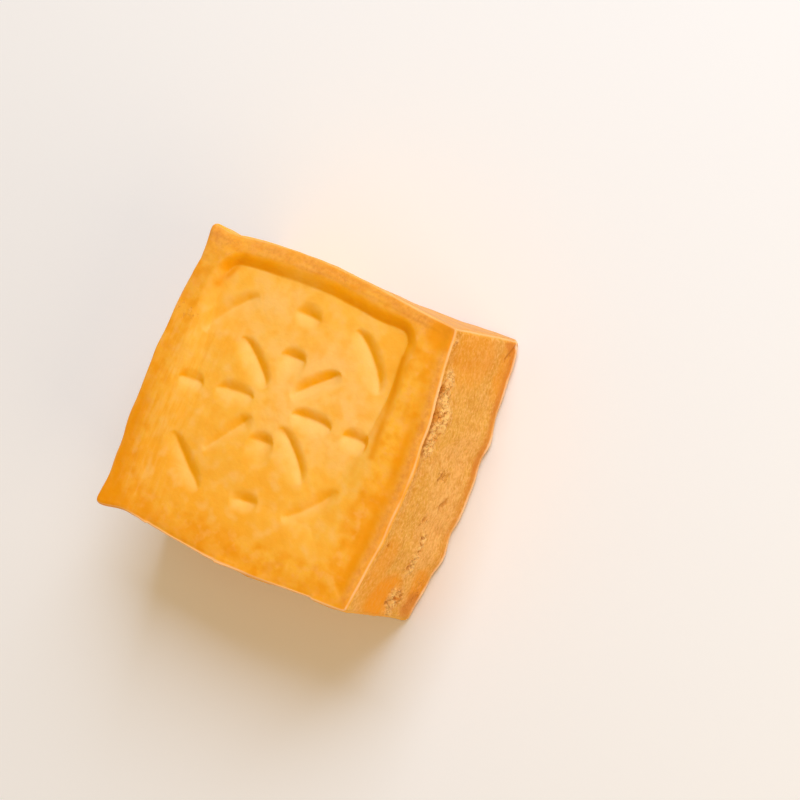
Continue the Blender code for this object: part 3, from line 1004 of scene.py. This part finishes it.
    bumps = (
        (grain, 0.25, 0.0002),
        (speck, 0.25, 0.0004),
        (fibre, product(masks["flesh"], 0.45), 0.0003),
        (ranged(chink, 1.0, 0.0), product(masks["crumb"], 0.5), 0.0003),
    )
    bumped = {}
    for height, strength, distance in bumps:
        links = {"Height": height, "Strength": strength, "Distance": distance, **bumped}
        bumped = {"Normal": add_node(tree, "ShaderNodeBump", links).outputs["Normal"]}
    roughness = ranged(masks["flesh"], 0.0, 1.0, 0.45, 0.70)
    shader = add_node(
        tree,
        "ShaderNodeBsdfPrincipled",
        {
            "Base Color": surface,
            "Roughness": roughness,
            "IOR": 1.42,
            "Specular IOR Level": 0.15,
            "Subsurface Weight": 0.15,
            "Subsurface Radius": (1.0, 0.45, 0.12),
            "Subsurface Scale": 0.0012,
            **bumped,
        },
    )
    output = add_node(tree, "ShaderNodeOutputMaterial")
    tree.links.new(shader.outputs["BSDF"], output.inputs["Surface"])
    return material


def floor_material(colour):
    """Matt white laminate, a plain ground that takes soft shadows."""
    material = bpy.data.materials.new("matt white laminate")
    material.use_nodes = True
    shader = material.node_tree.nodes["Principled BSDF"]
    shader.inputs["Base Color"].default_value = colour
    shader.inputs["Roughness"].default_value = 0.8
    shader.inputs["Specular IOR Level"].default_value = 0.2
    return material


# ---------------------------------------------------------------- settings


def length_property(name, text, default):
    """A length that the user may change, in metres."""
    return FloatProperty(name=name, description=text, default=default, min=0.0, unit="LENGTH", precision=5)


def colour_property(name, text, hex_colour):
    """A colour that the user may change, given in sRGB hex and kept as linear RGBA."""
    return FloatVectorProperty(
        name=name, description=text, default=linear(hex_colour), size=4, min=0.0, max=1.0, subtype="COLOR"
    )


class TofuSize(bpy.types.PropertyGroup):
    width: length_property("Width", "From corner to corner along X", 0.064)
    length: length_property("Length", "From corner to corner along Y", 0.064)
    thickness: length_property("Thickness", "From the underside to the rim", 0.031)
    edge_radius: length_property("Edge radius", "The rounding of every edge", 0.0010)
    stamp_depth: length_property("Stamp depth", "How deep the flower's strokes are pressed", 0.0013)
    unevenness: length_property("Unevenness", "How far noise shifts the stamp's outlines", 0.0003)
    cells_across: IntProperty(name="Cells across", description="Mesh cells along X and along Y", default=200)
    cells_up: IntProperty(name="Cells up", description="Mesh cells up the sides", default=68)


class TofuColours(bpy.types.PropertyGroup):
    panel: colour_property("Panel", "The pressed panel", "#fec149")
    # Also the painted shade towards the panel's front and left.
    panel_deep_and_shade: colour_property("Panel, deeper", "The panel's darker blotches", "#fcb12e")
    # Also the painted highlight on the slopes that face the main light, and the painted light in broad
    # patches.
    panel_pale_and_highlight: colour_property("Panel, pale", "The palest skin, past each hollow", "#ffca70")
    rim: colour_property("Rim", "The rim round the panel", "#fdb936")
    rim_deep: colour_property("Rim, deeper", "The rim's darker blotches", "#f9a824")
    rim_rosy: colour_property("Rim, rosy", "The rim's small rosy flecks", "#fdb955")
    # Also the painted shade along the foot of the panel's walls.
    deep: colour_property("Deep bands", "The deep orange bands along the rim", "#f09a02")
    # Painted shade: the colour of the walls that face away from the main light.
    wall: colour_property("Walls", "The walls of the hollows", "#ffb102")
    # Painted shade on the wall round the panel.
    panel_wall_shade: colour_property("Walls, deeper", "The wall round the panel", "#ffa600")
    peach: colour_property("Peach skin", "The dry skin along the edges", "#eba245")
    dry: colour_property("Dry side", "The pale dry skin down the +Y side", "#e29e4c")
    # Along -Y also a painted highlight.
    lip: colour_property("Lip", "The thin edge of dry skin", "#ffca8e")
    # Partly a painted highlight along the foot.
    foot: colour_property("Foot", "The pale bead of skin round the foot", "#ffd8ae")
    flesh: colour_property("Broken side", "The duller flesh of the +X side", "#e9af4c")
    flesh_deep: colour_property("Broken side, amber", "The more orange parts there", "#f29a0a")
    # Also the painted shade under the lip of skin.
    flesh_dark_and_shade: colour_property("Broken side, dark", "The darker fibres there", "#cf8a26")
    flesh_red: colour_property("Broken side, red", "The reddish parts near its foot", "#d5822e")
    flesh_rosy: colour_property("Broken side, rosy", "The pale rosy blotches and fibres there", "#f4bb6a")
    flesh_golden: colour_property("Broken side, golden", "The golden blotches there", "#e3aa46")
    crumb: colour_property("Crumbs", "The pale curls of broken flesh", "#fdcd7e")
    crumb_deep: colour_property("Crumbs, deeper", "The sides of the crumbs", "#e6a046")
    # Painted shade in the gaps, pits and crease, and the colour of scratches and of the marks along +Y.
    gap_shade_and_marks: colour_property("Crevices", "The brown gaps between crumbs", "#b0640e")


class TofuStage(bpy.types.PropertyGroup):
    floor: colour_property("Floor", "The plain ground", "#f4fbff")
    floor_size: length_property("Floor size", "The width of the ground", 6.0)
    surround_colour: colour_property("Surround", "The tint of the room", "#ffdcae")
    surround: FloatProperty(name="Surround strength", description="How bright the room is", default=0.50)
    key_colour: colour_property("Main light's colour", "The tint of the large soft light", "#e4edff")
    key_power: FloatProperty(
        name="Main light", description="The large soft light", default=10.8, unit="POWER"
    )
    fill_power: FloatProperty(
        name="Fill light", description="The light on the +X side", default=1.8, unit="POWER"
    )


# ---------------------------------------------------------------- operators


class TOFU_OT_block(bpy.types.Operator):
    """Make the block of tofu: a rounded box, shaped by the solid's formulas and then finely detailed"""

    bl_idname = "tofu.block"
    bl_label = "Tofu Block"

    def execute(self, context):
        size = context.scene.tofu_size
        plain, outward, quads = rounded_box(size)
        relief, masks = fine_relief(plain, outward, size)
        points = plain
        for shaping in (pressed_face, swollen_sides, grooved_side, pinched_corners):
            points = shaping(points, size)
        points = over_solid(points)
        under = smooth((-outward[:, 2] - 0.5) / 0.3)
        points = points + (relief * (1 - under))[:, None] * outward
        points[:, 2] = np.maximum(points[:, 2], 0.0)
        block = mesh_object("dried_tofu", points, split_quads(points, quads), masks)
        block.data.materials.append(tofu_material(context.scene.tofu_colours, masks))
        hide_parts(NODE)
        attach(block, BODY)
        return {"FINISHED"}


class TOFU_OT_stage(bpy.types.Operator):
    """Make the plain floor, the soft studio light and the photograph's camera"""

    bl_idname = "tofu.stage"
    bl_label = "Studio"

    def execute(self, context):
        settings = context.scene.tofu_stage
        self.make_floor(settings)
        self.make_lights(context, settings)
        self.make_camera(context)
        context.scene.view_settings.view_transform = "Standard"
        return {"FINISHED"}

    def make_floor(self, settings):
        half = settings.floor_size / 2
        corners = [(-half, -half, 0), (half, -half, 0), (half, half, 0), (-half, half, 0)]
        mesh = bpy.data.meshes.new("floor")
        mesh.from_pydata(corners, [], [(0, 1, 2, 3)])
        mesh.materials.append(floor_material(settings.floor))
        floor = bpy.data.objects.new("floor", mesh)
        bpy.context.scene.collection.objects.link(floor)

    def make_lights(self, context, settings):
        """Two soft lights that aim at the block, and an evenly lit pale room round it."""
        for name, power, colour, side, place in (
            ("main light", settings.key_power, settings.key_colour, 0.80, (0.12, 0.80, 0.75)),
            ("fill light", settings.fill_power, settings.surround_colour, 0.50, (0.75, -0.10, 0.35)),
        ):
            light = bpy.data.lights.new(name, "AREA")
            light.energy = power
            light.color = colour[:3]
            light.size = side
            lamp = bpy.data.objects.new(name, light)
            lamp.location = place
            lamp.rotation_euler = (-Vector(place)).to_track_quat("-Z", "Y").to_euler()
            lamp.visible_camera = False
            context.scene.collection.objects.link(lamp)
        world = bpy.data.worlds.new("pale room")
        world.use_nodes = True
        world.node_tree.nodes["Background"].inputs["Strength"].default_value = settings.surround
        world.node_tree.nodes["Background"].inputs["Color"].default_value = settings.surround_colour
        context.scene.world = world

    def make_camera(self, context):
        """Stands the camera where the photograph's stood, rolled as it was."""
        camera = bpy.data.objects.new("camera", bpy.data.cameras.new("camera"))
        camera.data.sensor_width = SENSOR_MM
        camera.data.lens = FOCAL_PIXELS / FRAME_PIXELS * SENSOR_MM
        camera.data.clip_start = 0.01
        camera.data.clip_end = 20.0
        axes = Matrix(CAMERA_AXES)
        place = axes @ Vector((*CAMERA_ACROSS, CAMERA_DISTANCE))
        camera.matrix_world = Matrix.Translation(place) @ axes.to_4x4()
        context.scene.collection.objects.link(camera)
        context.scene.camera = camera


class TOFU_PT_panel(bpy.types.Panel):
    """The block's and the studio's settings"""

    bl_idname = "TOFU_PT_panel"
    bl_label = "Dried Tofu"
    bl_space_type = "VIEW_3D"
    bl_region_type = "UI"
    bl_category = "Dried Tofu"

    def draw(self, context):
        for group in (context.scene.tofu_size, context.scene.tofu_colours, context.scene.tofu_stage):
            box = self.layout.box()
            for name in group.bl_rna.properties.keys():
                if name not in ("rna_type", "name"):
                    box.prop(group, name)
        self.layout.operator(TOFU_OT_block.bl_idname)
        self.layout.operator(TOFU_OT_stage.bl_idname)


CLASSES = (TofuSize, TofuColours, TofuStage, TOFU_OT_block, TOFU_OT_stage, TOFU_PT_panel)
SETTINGS = {"tofu_size": TofuSize, "tofu_colours": TofuColours, "tofu_stage": TofuStage}


def register():
    for made in CLASSES:
        bpy.utils.register_class(made)
    for name, group in SETTINGS.items():
        setattr(bpy.types.Scene, name, PointerProperty(type=group))


def unregister():
    for name in SETTINGS:
        delattr(bpy.types.Scene, name)
    for made in reversed(CLASSES):
        bpy.utils.unregister_class(made)


def main():
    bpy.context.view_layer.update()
    register()
    bpy.ops.tofu.stage()
    bpy.ops.tofu.block()


if __name__ == "__main__":
    main()
